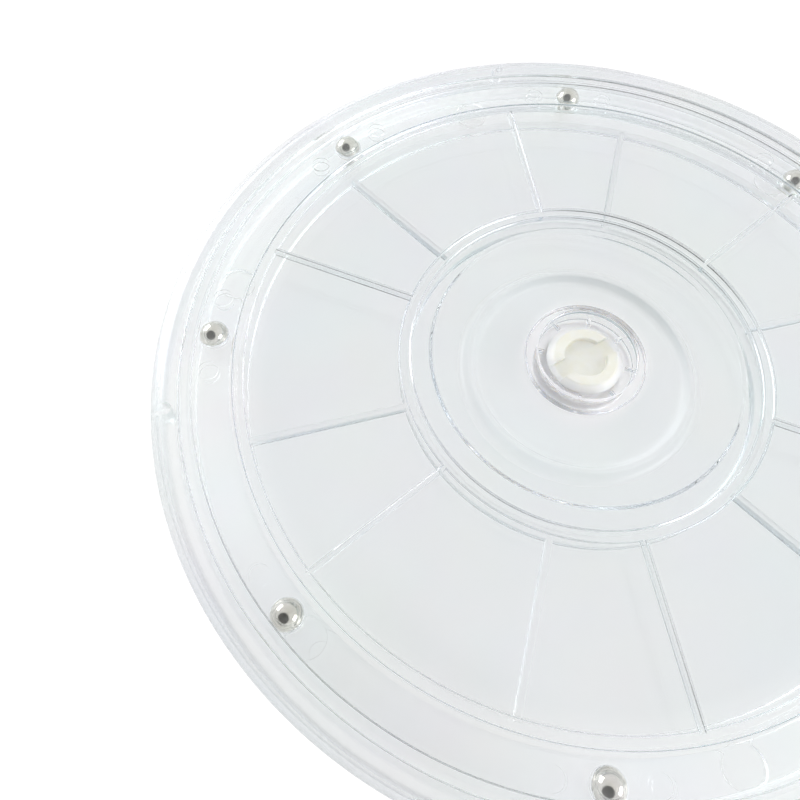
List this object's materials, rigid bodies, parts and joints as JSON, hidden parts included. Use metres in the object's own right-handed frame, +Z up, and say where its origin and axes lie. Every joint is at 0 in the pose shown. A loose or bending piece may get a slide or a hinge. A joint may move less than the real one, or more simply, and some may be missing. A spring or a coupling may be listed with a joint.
{
  "type": "ball-bearing turntable base",
  "caption": "Clear round ball-bearing turntable base of a tool storage caddy: two ribbed discs, a caged ring of steel balls and a split snap pin.",
  "frame": {"origin": "on the table under the hub's axis", "axes": "+Z up, along the axis that the plate turns on; +X to the picture's right"},
  "size_m": [0.235, 0.235, 0.0146],
  "materials": {
    "clear_plastic": "clear, polished mould",
    "cream_nylon": "natural, slightly translucent",
    "ball_steel": "mirror polished",
    "clear_silicone": "clear, soft"
  },
  "bodies": {
    "base": {"base_plate": "clear_plastic", "pivot_pin": "cream_nylon", "foot_pad_1": "clear_silicone", "foot_pad_2": "clear_silicone", "foot_pad_3": "clear_silicone", "foot_pad_4": "clear_silicone", "foot_pad_5": "clear_silicone", "foot_pad_6": "clear_silicone"},
    "plate": {"turntable_plate": "clear_plastic"},
    "cage": {"ball_cage": "clear_plastic"},
    "ball_1": {"bearing_ball_1": "ball_steel"},
    "ball_2": {"bearing_ball_2": "ball_steel"},
    "ball_3": {"bearing_ball_3": "ball_steel"},
    "ball_4": {"bearing_ball_4": "ball_steel"},
    "ball_5": {"bearing_ball_5": "ball_steel"},
    "ball_6": {"bearing_ball_6": "ball_steel"},
    "ball_7": {"bearing_ball_7": "ball_steel"},
    "ball_8": {"bearing_ball_8": "ball_steel"}
  },
  "joints": [
    {"name": "plate_spin", "type": "hinge", "parent": "base", "child": "plate", "pos_m": [0, 0, 0.0093], "axis": [0, 0, 1], "continuous": true},
    {"name": "cage_spin", "type": "hinge", "parent": "base", "child": "cage", "pos_m": [0, 0, 0.0081], "axis": [0, 0, 1], "continuous": true},
    {"name": "ball_1_roll", "type": "hinge", "parent": "cage", "child": "ball_1", "pos_m": [0.09009, 0.04994, 0.0081], "axis": [0.8746, 0.4848, 0], "continuous": true},
    {"name": "ball_2_roll", "type": "hinge", "parent": "cage", "child": "ball_2", "pos_m": [0.02839, 0.09901, 0.0081], "axis": [0.2756, 0.9613, 0], "continuous": true},
    {"name": "ball_3_roll", "type": "hinge", "parent": "cage", "child": "ball_3", "pos_m": [-0.04994, 0.09009, 0.0081], "axis": [-0.4848, 0.8746, 0], "continuous": true},
    {"name": "ball_4_roll", "type": "hinge", "parent": "cage", "child": "ball_4", "pos_m": [-0.09901, 0.02839, 0.0081], "axis": [-0.9613, 0.2756, 0], "continuous": true},
    {"name": "ball_5_roll", "type": "hinge", "parent": "cage", "child": "ball_5", "pos_m": [-0.09009, -0.04994, 0.0081], "axis": [-0.8746, -0.4848, 0], "continuous": true},
    {"name": "ball_6_roll", "type": "hinge", "parent": "cage", "child": "ball_6", "pos_m": [-0.02839, -0.09901, 0.0081], "axis": [-0.2756, -0.9613, 0], "continuous": true},
    {"name": "ball_7_roll", "type": "hinge", "parent": "cage", "child": "ball_7", "pos_m": [0.04994, -0.09009, 0.0081], "axis": [0.4848, -0.8746, 0], "continuous": true},
    {"name": "ball_8_roll", "type": "hinge", "parent": "cage", "child": "ball_8", "pos_m": [0.09901, -0.02839, 0.0081], "axis": [0.9613, -0.2756, 0], "continuous": true}
  ],
  "couplings": [
    {"joint": "cage_spin", "follows": "plate_spin", "ratio": 0.5},
    {"joint": "ball_1_roll", "follows": "plate_spin", "ratio": -12.875},
    {"joint": "ball_2_roll", "follows": "plate_spin", "ratio": -12.875},
    {"joint": "ball_3_roll", "follows": "plate_spin", "ratio": -12.875},
    {"joint": "ball_4_roll", "follows": "plate_spin", "ratio": -12.875},
    {"joint": "ball_5_roll", "follows": "plate_spin", "ratio": -12.875},
    {"joint": "ball_6_roll", "follows": "plate_spin", "ratio": -12.875},
    {"joint": "ball_7_roll", "follows": "plate_spin", "ratio": -12.875},
    {"joint": "ball_8_roll", "follows": "plate_spin", "ratio": -12.875}
  ]
}
